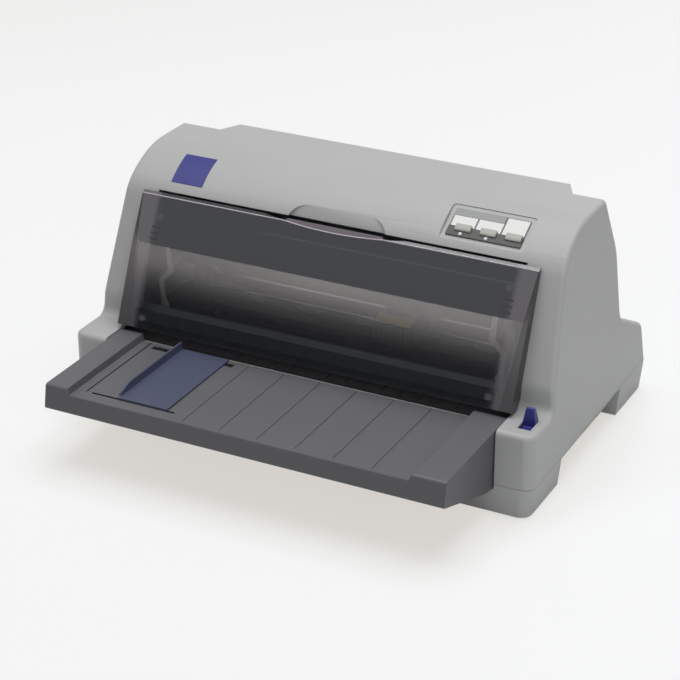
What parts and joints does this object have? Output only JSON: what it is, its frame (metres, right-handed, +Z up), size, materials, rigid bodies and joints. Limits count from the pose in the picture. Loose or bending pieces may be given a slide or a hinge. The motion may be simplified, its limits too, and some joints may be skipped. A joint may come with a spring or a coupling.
{
  "type": "dot matrix printer",
  "caption": "Desktop dot matrix printer with a smoked hinged front cover, a flat front paper tray with a sliding edge guide, and a working print mechanism inside.",
  "frame": {"origin": "on the ground under the middle of the whole printer, tray included", "axes": "+X across the printer towards the release lever, +Y from the tray to the back, +Z up"},
  "size_m": [0.47, 0.3917, 0.233],
  "materials": {
    "case_plastic": "fine spark texture",
    "tray_plastic": "fine spark texture",
    "guide_plastic": "satin",
    "smoked_plastic": "clear smoked, polished",
    "dark_plastic": "satin",
    "blue_plastic": "satin",
    "panel_film": "printed film",
    "circuit_board": "lacquered",
    "light_plastic": "satin",
    "zinc_sheet": "zinc plated",
    "black_plastic": "satin",
    "steel": "ground",
    "rubber": "matt",
    "white_plastic": "satin",
    "brass": "bright",
    "cast_aluminium": "cast",
    "ribbon_fabric": "inked"
  },
  "bodies": {
    "printer": {"lower_case": "case_plastic", "upper_case": "case_plastic", "rubber_feet": "rubber", "front_tray": "tray_plastic", "hinge_bracket_left": "dark_plastic", "hinge_bracket_right": "dark_plastic", "front_paper_guide": "dark_plastic", "badge_plate": "blue_plastic", "control_panel": "panel_film", "panel_board": "circuit_board", "lever_bracket": "zinc_sheet", "switch_frame": "black_plastic", "chassis_plate": "zinc_sheet", "side_frame_left": "zinc_sheet", "side_frame_right": "zinc_sheet", "frame_screws": "steel", "bent_arms": "light_plastic", "paper_bed": "dark_plastic", "rear_paper_guide": "dark_plastic", "shaft_bushes": "white_plastic", "idler_pins": "steel", "feed_motor": "zinc_sheet", "guide_shaft": "steel", "rear_rail": "zinc_sheet", "carriage_motor": "zinc_sheet", "pulley_bracket": "zinc_sheet", "timing_belt": "rubber", "ribbon_cartridge": "black_plastic", "ribbon": "ribbon_fabric", "cartridge_brackets": "zinc_sheet", "main_board": "circuit_board", "power_board": "circuit_board", "power_inlet": "black_plastic", "parallel_socket": "steel", "usb_socket": "steel"},
    "cover": {"front_cover": "smoked_plastic"},
    "paper_edge_guide": {"edge_guide": "guide_plastic"},
    "lever": {"release_lever": "blue_plastic"},
    "feed_button": {"button_feed": "light_plastic"},
    "load_button": {"button_load": "light_plastic"},
    "pause_button": {"button_pause": "light_plastic"},
    "rocker": {"power_switch": "black_plastic"},
    "carriage": {"carriage": "black_plastic", "print_head": "cast_aluminium", "head_connector": "brass"},
    "motor_pulley": {"motor_pulley": "steel"},
    "idler_pulley": {"idler_pulley": "white_plastic"},
    "platen": {"platen_shaft": "steel", "platen_rubber": "rubber", "platen_gear": "white_plastic"},
    "front_feed": {"front_feed_rollers": "steel"},
    "rear_feed": {"rear_feed_rollers": "steel"},
    "front_pinch": {"front_pinch_rollers": "steel"},
    "rear_pinch": {"rear_pinch_rollers": "steel"},
    "front_idler": {"idler_gear_front": "white_plastic"},
    "rear_idler": {"idler_gear_rear": "white_plastic"},
    "pinion": {"feed_pinion": "brass"},
    "ribbon_knob": {"ribbon_knob": "blue_plastic"}
  },
  "joints": [
    {"name": "cover_hinge", "type": "hinge", "parent": "printer", "child": "cover", "pos_m": [0, -0.0576, 0.092], "axis": [1, 0, 0], "range_deg": [0, 90]},
    {"name": "edge_guide_slide", "type": "slide", "parent": "printer", "child": "paper_edge_guide", "axis": [1, 0, 0], "range_m": [-0.0264, 0.0074]},
    {"name": "lever_turn", "type": "hinge", "parent": "printer", "child": "lever", "pos_m": [0, -0.0685, 0.06], "axis": [1, 0, 0], "range_deg": [0, 28]},
    {"name": "feed_press", "type": "slide", "parent": "printer", "child": "feed_button", "axis": [0, 0.5015, -0.8652], "range_m": [0, 0.0008], "stiffness_N_per_m": 600, "springref_m": -0.0005},
    {"name": "load_press", "type": "slide", "parent": "printer", "child": "load_button", "axis": [0, 0.5015, -0.8652], "range_m": [0, 0.0008], "stiffness_N_per_m": 600, "springref_m": -0.0005},
    {"name": "pause_press", "type": "slide", "parent": "printer", "child": "pause_button", "axis": [0, 0.5015, -0.8652], "range_m": [0, 0.0008], "stiffness_N_per_m": 600, "springref_m": -0.0005},
    {"name": "rocker_tip", "type": "hinge", "parent": "printer", "child": "rocker", "pos_m": [-0.2274, 0.158, 0.056], "axis": [0, 0, 1], "range_deg": [-18, 0]},
    {"name": "carriage_slide", "type": "slide", "parent": "printer", "child": "carriage", "axis": [1, 0, 0], "range_m": [-0.17, 0.066]},
    {"name": "motor_pulley_spin", "type": "hinge", "parent": "printer", "child": "motor_pulley", "pos_m": [-0.18, 0.092, 0.107], "axis": [0, 0, 1], "continuous": true},
    {"name": "idler_pulley_spin", "type": "hinge", "parent": "printer", "child": "idler_pulley", "pos_m": [0.18, 0.092, 0.107], "axis": [0, 0, 1], "continuous": true},
    {"name": "platen_turn", "type": "hinge", "parent": "printer", "child": "platen", "pos_m": [0, 0.023, 0.0655], "axis": [1, 0, 0], "continuous": true},
    {"name": "front_feed_turn", "type": "hinge", "parent": "printer", "child": "front_feed", "pos_m": [0, -0.01679, 0.0696], "axis": [1, 0, 0], "continuous": true},
    {"name": "rear_feed_turn", "type": "hinge", "parent": "printer", "child": "rear_feed", "pos_m": [0, 0.06279, 0.0696], "axis": [1, 0, 0], "continuous": true},
    {"name": "front_pinch_turn", "type": "hinge", "parent": "printer", "child": "front_pinch", "pos_m": [0, -0.01679, 0.0829], "axis": [1, 0, 0], "continuous": true},
    {"name": "rear_pinch_turn", "type": "hinge", "parent": "printer", "child": "rear_pinch", "pos_m": [0, 0.06279, 0.0819], "axis": [1, 0, 0], "continuous": true},
    {"name": "front_idler_turn", "type": "hinge", "parent": "printer", "child": "front_idler", "pos_m": [-0.2101, 0.00062, 0.06781], "axis": [1, 0, 0], "continuous": true},
    {"name": "rear_idler_turn", "type": "hinge", "parent": "printer", "child": "rear_idler", "pos_m": [-0.2101, 0.04538, 0.06781], "axis": [1, 0, 0], "continuous": true},
    {"name": "pinion_turn", "type": "hinge", "parent": "printer", "child": "pinion", "pos_m": [-0.2101, 0.023, 0.0455], "axis": [1, 0, 0], "continuous": true},
    {"name": "ribbon_knob_turn", "type": "hinge", "parent": "printer", "child": "ribbon_knob", "pos_m": [-0.12, 0.039, 0.137], "axis": [0, 0, 1], "continuous": true}
  ],
  "couplings": [
    {"joint": "motor_pulley_spin", "follows": "carriage_slide", "rad_per_m": 125},
    {"joint": "idler_pulley_spin", "follows": "carriage_slide", "rad_per_m": 125},
    {"joint": "front_feed_turn", "follows": "platen_turn", "ratio": 1.5556},
    {"joint": "rear_feed_turn", "follows": "platen_turn", "ratio": 1.5556},
    {"joint": "front_pinch_turn", "follows": "platen_turn", "ratio": -2.4889},
    {"joint": "rear_pinch_turn", "follows": "platen_turn", "ratio": -3.1111},
    {"joint": "front_idler_turn", "follows": "platen_turn", "ratio": -1.6471},
    {"joint": "rear_idler_turn", "follows": "platen_turn", "ratio": -1.6471},
    {"joint": "pinion_turn", "follows": "platen_turn", "ratio": -2.3333}
  ]
}
